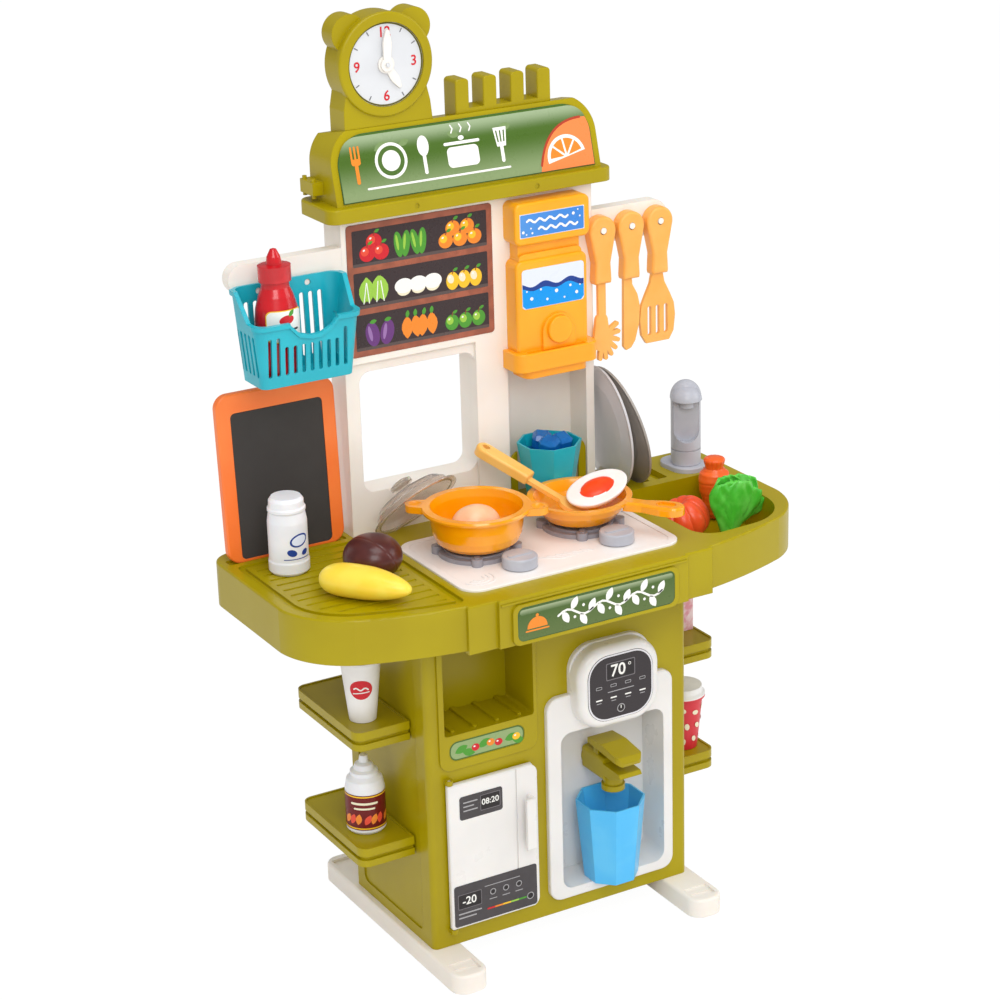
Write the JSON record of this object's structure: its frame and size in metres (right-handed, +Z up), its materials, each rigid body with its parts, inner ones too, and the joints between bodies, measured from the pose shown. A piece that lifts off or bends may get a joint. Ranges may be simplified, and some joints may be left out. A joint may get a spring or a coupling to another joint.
{
  "type": "toy kitchen",
  "caption": "Free-standing play kitchen with hob, sink, hinged refrigerator door, water tap, fountain, shelves, clock and loose dishes and food.",
  "frame": {"origin": "on the floor, under the middle of the whole outline", "axes": "+X right-hand side seen from the front, -Y front, +Z up"},
  "size_m": [0.57, 0.31, 0.925],
  "materials": {
    "cream_plastic": "moulded, satin",
    "olive_plastic": "moulded, semi-gloss",
    "white_plastic": "moulded, semi-gloss",
    "pink_plastic": "moulded, satin",
    "grey_plastic": "moulded, satin",
    "amber_plastic": "moulded, glossy",
    "printed_film": "printed film, gloss laminated",
    "red_plastic": "moulded, semi-gloss",
    "teal_plastic": "moulded, semi-gloss",
    "peach_plastic": "moulded, semi-gloss",
    "clear_plastic": "moulded clear, glossy",
    "ice_plastic": "moulded translucent",
    "blue_plastic": "moulded, semi-gloss",
    "brown_plastic": "moulded, semi-gloss",
    "yellow_plastic": "moulded, semi-gloss",
    "carrot_plastic": "moulded, semi-gloss",
    "green_plastic": "moulded, semi-gloss",
    "cup_paper": "bare, uncoated",
    "carton_card": "printed, matt"
  },
  "bodies": {
    "kitchen": {"feet": "cream_plastic", "cabinet_shell": "olive_plastic", "cabinet_back": "olive_plastic", "cabinet_liners": "olive_plastic", "dispenser_panel": "white_plastic", "dispenser_display": "printed_film", "tap_body": "olive_plastic", "side_shelves": "olive_plastic", "countertop": "olive_plastic", "sign_plates": "printed_film", "hob_panel": "pink_plastic", "burner_grates": "grey_plastic", "faucet_base": "grey_plastic", "tower_front": "cream_plastic", "tower_rear": "cream_plastic", "produce_board": "printed_film", "side_arms": "cream_plastic", "fountain_body": "amber_plastic", "fountain_labels": "printed_film", "roof": "olive_plastic", "knife_rack": "olive_plastic", "clock_case": "olive_plastic", "clock_dial": "white_plastic"},
    "tap_lever": {"tap_lever": "olive_plastic"},
    "knob_left": {"knob_left": "grey_plastic"},
    "knob_right": {"knob_right": "grey_plastic"},
    "faucet": {"faucet": "grey_plastic"},
    "fridge_door": {"fridge_door": "white_plastic", "fridge_displays": "printed_film"},
    "fountain_button": {"fountain_button": "amber_plastic"},
    "hour_hand": {"hour_hand": "white_plastic"},
    "minute_hand": {"minute_hand": "white_plastic"},
    "basket": {"basket": "teal_plastic", "sauce_bottle": "red_plastic"},
    "blackboard": {"blackboard_frame": "red_plastic", "blackboard_slate": "printed_film"},
    "slotted_spatula": {"slotted_spatula": "peach_plastic"},
    "toy_knife": {"toy_knife": "peach_plastic"},
    "pasta_server": {"pasta_server": "peach_plastic"},
    "plate_left": {"plate_left": "grey_plastic"},
    "plate_right": {"plate_right": "grey_plastic"},
    "pot": {"pot": "amber_plastic", "pot_egg": "peach_plastic"},
    "pot_lid": {"pot_lid": "clear_plastic"},
    "frying_pan": {"frying_pan": "amber_plastic", "egg_half": "white_plastic", "serving_spoon": "peach_plastic"},
    "teal_cup": {"teal_cup": "teal_plastic", "ice_cubes": "ice_plastic"},
    "blue_cup": {"blue_cup": "blue_plastic"},
    "milk_bottle": {"milk_bottle": "white_plastic"},
    "brown_ball": {"brown_ball": "brown_plastic"},
    "yellow_fruit": {"yellow_fruit": "yellow_plastic"},
    "tomato": {"tomato": "red_plastic"},
    "carrot": {"carrot": "carrot_plastic"},
    "cabbage": {"cabbage": "green_plastic"},
    "paper_cup": {"paper_cup": "cup_paper"},
    "chili_bottle": {"chili_bottle": "red_plastic"},
    "carton": {"carton": "carton_card"},
    "red_cup": {"red_cup": "red_plastic"}
  },
  "joints": [
    {"name": "tap_lever_press", "type": "hinge", "parent": "kitchen", "child": "tap_lever", "pos_m": [0.057, -0.072, 0.187], "axis": [1, 0, 0], "range_deg": [0, 10], "stiffness_Nm_per_rad": 0.03},
    {"name": "knob_left_turn", "type": "hinge", "parent": "kitchen", "child": "knob_left", "pos_m": [-0.046, -0.0885, 0.418], "axis": [0, 0, 1], "continuous": true},
    {"name": "knob_right_turn", "type": "hinge", "parent": "kitchen", "child": "knob_right", "pos_m": [0.066, -0.0855, 0.418], "axis": [0, 0, 1], "continuous": true},
    {"name": "faucet_swivel", "type": "hinge", "parent": "kitchen", "child": "faucet", "pos_m": [0.245, 0.06, 0.425], "axis": [0, 0, 1], "range_deg": [-80, 80]},
    {"name": "fridge_door_hinge", "type": "hinge", "parent": "kitchen", "child": "fridge_door", "pos_m": [-0.13, -0.085, 0.12], "axis": [0, 0, -1], "range_deg": [0, 110]},
    {"name": "fountain_button_press", "type": "slide", "parent": "kitchen", "child": "fountain_button", "axis": [0, 1, 0], "range_m": [0, 0.003], "stiffness_N_per_m": 200},
    {"name": "hour_hand_turn", "type": "hinge", "parent": "kitchen", "child": "hour_hand", "pos_m": [-0.08, 0.081, 0.875], "axis": [0, 1, 0], "continuous": true},
    {"name": "minute_hand_turn", "type": "hinge", "parent": "kitchen", "child": "minute_hand", "pos_m": [-0.08, 0.0785, 0.875], "axis": [0, 1, 0], "continuous": true},
    {"name": "basket_lift", "type": "slide", "parent": "kitchen", "child": "basket", "axis": [0, -1, 0], "range_m": [0, 0.06]},
    {"name": "blackboard_lift", "type": "slide", "parent": "kitchen", "child": "blackboard", "axis": [0, 0, 1], "range_m": [0, 0.05]},
    {"name": "slotted_spatula_lift", "type": "slide", "parent": "kitchen", "child": "slotted_spatula", "axis": [0, -1, 0], "range_m": [0, 0.03]},
    {"name": "toy_knife_lift", "type": "slide", "parent": "kitchen", "child": "toy_knife", "axis": [0, -1, 0], "range_m": [0, 0.03]},
    {"name": "pasta_server_lift", "type": "slide", "parent": "kitchen", "child": "pasta_server", "axis": [0, -1, 0], "range_m": [0, 0.03]},
    {"name": "plate_left_lift", "type": "slide", "parent": "kitchen", "child": "plate_left", "axis": [0, 0, 1], "range_m": [0, 0.012]},
    {"name": "plate_right_lift", "type": "slide", "parent": "kitchen", "child": "plate_right", "axis": [0, 0, 1], "range_m": [0, 0.012]},
    {"name": "pot_lift", "type": "slide", "parent": "kitchen", "child": "pot", "axis": [0, 0, 1], "range_m": [0, 0.06]},
    {"name": "pot_lid_lift", "type": "slide", "parent": "pot", "child": "pot_lid", "axis": [0, 0, 1], "range_m": [0, 0.05]},
    {"name": "frying_pan_lift", "type": "slide", "parent": "kitchen", "child": "frying_pan", "axis": [0, -0.5, 0.866], "range_m": [0, 0.06]},
    {"name": "teal_cup_lift", "type": "slide", "parent": "kitchen", "child": "teal_cup", "axis": [0, 0, 1], "range_m": [0, 0.05]},
    {"name": "blue_cup_lift", "type": "slide", "parent": "kitchen", "child": "blue_cup", "axis": [0, -1, 0], "range_m": [0, 0.06]},
    {"name": "milk_bottle_lift", "type": "slide", "parent": "kitchen", "child": "milk_bottle", "axis": [0, 0, 1], "range_m": [0, 0.06]},
    {"name": "brown_ball_lift", "type": "slide", "parent": "kitchen", "child": "brown_ball", "axis": [0, 0, 1], "range_m": [0, 0.06]},
    {"name": "yellow_fruit_lift", "type": "slide", "parent": "kitchen", "child": "yellow_fruit", "axis": [0, 0, 1], "range_m": [0, 0.06]},
    {"name": "tomato_lift", "type": "slide", "parent": "kitchen", "child": "tomato", "axis": [-0.2079, 0, 0.9781], "range_m": [0, 0.05]},
    {"name": "carrot_lift", "type": "slide", "parent": "kitchen", "child": "carrot", "axis": [0, 0, 1], "range_m": [0, 0.06]},
    {"name": "cabbage_lift", "type": "slide", "parent": "kitchen", "child": "cabbage", "axis": [0, 0, 1], "range_m": [0, 0.06]},
    {"name": "paper_cup_lift", "type": "slide", "parent": "kitchen", "child": "paper_cup", "axis": [0, -0.8, 0.6], "range_m": [0, 0.03]},
    {"name": "chili_bottle_lift", "type": "slide", "parent": "kitchen", "child": "chili_bottle", "axis": [0, -0.8, 0.6], "range_m": [0, 0.03]},
    {"name": "carton_lift", "type": "slide", "parent": "kitchen", "child": "carton", "axis": [0, -0.8, 0.6], "range_m": [0, 0.03]},
    {"name": "red_cup_lift", "type": "slide", "parent": "kitchen", "child": "red_cup", "axis": [0, -0.8, 0.6], "range_m": [0, 0.03]}
  ]
}
